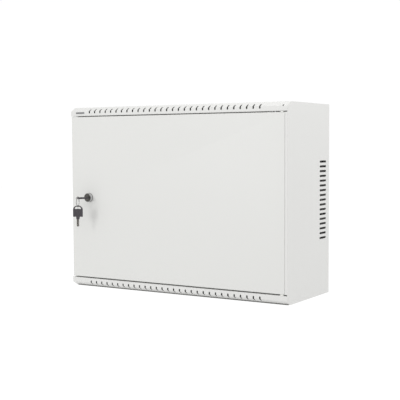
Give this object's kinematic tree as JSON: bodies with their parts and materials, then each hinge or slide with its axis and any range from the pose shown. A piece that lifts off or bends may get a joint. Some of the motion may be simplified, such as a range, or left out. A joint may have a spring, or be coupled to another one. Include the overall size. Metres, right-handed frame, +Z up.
{
  "type": "wall-mount network rack cabinet",
  "caption": "Shallow wall-mount 19-inch rack cabinet of folded light-grey steel with a hinged, locking solid door, vent slots in the strips and sides, inner rack rails and keys in the lock.",
  "frame": {"origin": "centre of the underside of the body, on its flat base; the body's width and depth are centred on it", "axes": "+X to the right seen from the front, +Y towards the wall, +Z up; the door faces -Y"},
  "size_m": [0.6, 0.2799, 0.4462],
  "materials": {
    "body_paint": "light grey powder coat, fine texture",
    "door_paint": "light grey powder coat, fine texture",
    "rail_zinc": "bright zinc plate",
    "fastener_zinc": "bright zinc plate",
    "pin_steel": "plain steel",
    "black_rubber": "matt",
    "badge": "matt grey",
    "white_nylon": "white nylon",
    "lock_chrome": "polished",
    "key_nickel": "nickel plate",
    "key_plastic": "satin black",
    "ring_steel": "bright steel"
  },
  "bodies": {
    "cabinet": {"top_panel": "body_paint", "bottom_panel": "body_paint", "left_side_panel": "body_paint", "right_side_panel": "body_paint", "back_panel": "body_paint", "rail_left": "rail_zinc", "rail_right": "rail_zinc", "rail_bracket_top_left": "rail_zinc", "rail_bracket_top_right": "rail_zinc", "rail_bracket_bottom_left": "rail_zinc", "rail_bracket_bottom_right": "rail_zinc", "rail_screws": "fastener_zinc", "rail_nuts": "fastener_zinc", "top_entry_trim": "black_rubber", "bottom_entry_cover": "body_paint", "cover_screws": "fastener_zinc", "hinge_plate_top": "rail_zinc", "hinge_plate_bottom": "rail_zinc", "hinge_pin_top": "pin_steel", "hinge_pin_bottom": "pin_steel", "door_buffers": "black_rubber", "body_earth_stud": "fastener_zinc", "body_earth_washers": "fastener_zinc", "body_earth_nut": "fastener_zinc", "badge_plate": "badge"},
    "door": {"door_panel": "door_paint", "hinge_bush_top": "white_nylon", "hinge_bush_bottom": "white_nylon", "lock_body": "lock_chrome", "lock_washer": "fastener_zinc", "lock_nut": "fastener_zinc", "door_earth_stud": "fastener_zinc", "door_earth_washer": "fastener_zinc", "door_earth_nut": "fastener_zinc"},
    "plug": {"lock_plug": "lock_chrome", "lock_cam": "fastener_zinc", "cam_screw": "fastener_zinc"},
    "key": {"key_blade": "key_nickel", "key_bow": "key_plastic"},
    "ring": {"key_ring": "ring_steel"},
    "spare_key": {"spare_key_blade": "key_nickel", "spare_key_bow": "key_plastic"}
  },
  "joints": [
    {"name": "door_swing", "type": "hinge", "parent": "cabinet", "child": "door", "pos_m": [0.285, -0.1055, 0.2225], "axis": [0, 0, 1], "range_deg": [0, 110]},
    {"name": "plug_turn", "type": "hinge", "parent": "door", "child": "plug", "pos_m": [-0.245, -0.11, 0.2225], "axis": [0, 1, 0], "range_deg": [0, 90]},
    {"name": "key_pull", "type": "slide", "parent": "plug", "child": "key", "axis": [0, -1, 0], "range_m": [0, 0.02]},
    {"name": "ring_swing", "type": "hinge", "parent": "key", "child": "ring", "pos_m": [-0.245, -0.1535, 0.2225], "axis": [-0.9063, -0.4226, 0], "range_deg": [0, 50]},
    {"name": "spare_key_swing", "type": "hinge", "parent": "ring", "child": "spare_key", "pos_m": [-0.24317, -0.15743, 0.20444], "axis": [-0.9063, -0.4226, 0], "range_deg": [-50, 50]}
  ]
}
